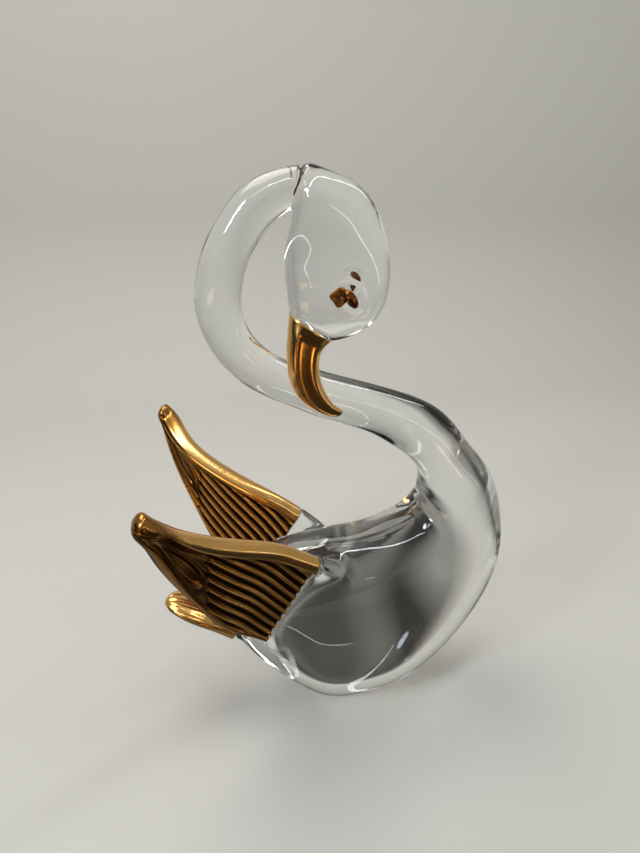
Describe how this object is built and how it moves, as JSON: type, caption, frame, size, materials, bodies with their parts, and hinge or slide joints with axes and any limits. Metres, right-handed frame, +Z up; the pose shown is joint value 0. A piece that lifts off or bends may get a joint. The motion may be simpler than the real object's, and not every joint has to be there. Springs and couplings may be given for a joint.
{
  "type": "glass swan figurine",
  "caption": "Solid clear-glass swan with an S-curved neck and gilded wings, tail and beak, standing on a small flat ground on its belly.",
  "frame": {"origin": "on the flat ground foot under the belly, in the swan's middle plane", "axes": "+X forward, the way the breast points; +Y the swan's left; +Z up"},
  "size_m": [0.0999, 0.075, 0.1501],
  "materials": {
    "clear_glass": "fire-polished, clear and colourless",
    "gold_lustre": "fired gold lustre over glass, mirror bright, brown in the grooves",
    "brown_lustre": "fired dark gold-brown lustre, bright"
  },
  "bodies": {
    "root": {"body_neck_and_head": "clear_glass", "left_wing": "gold_lustre", "right_wing": "gold_lustre", "tail": "gold_lustre", "beak": "gold_lustre", "left_eye": "brown_lustre", "right_eye": "brown_lustre"}
  },
  "joints": []
}
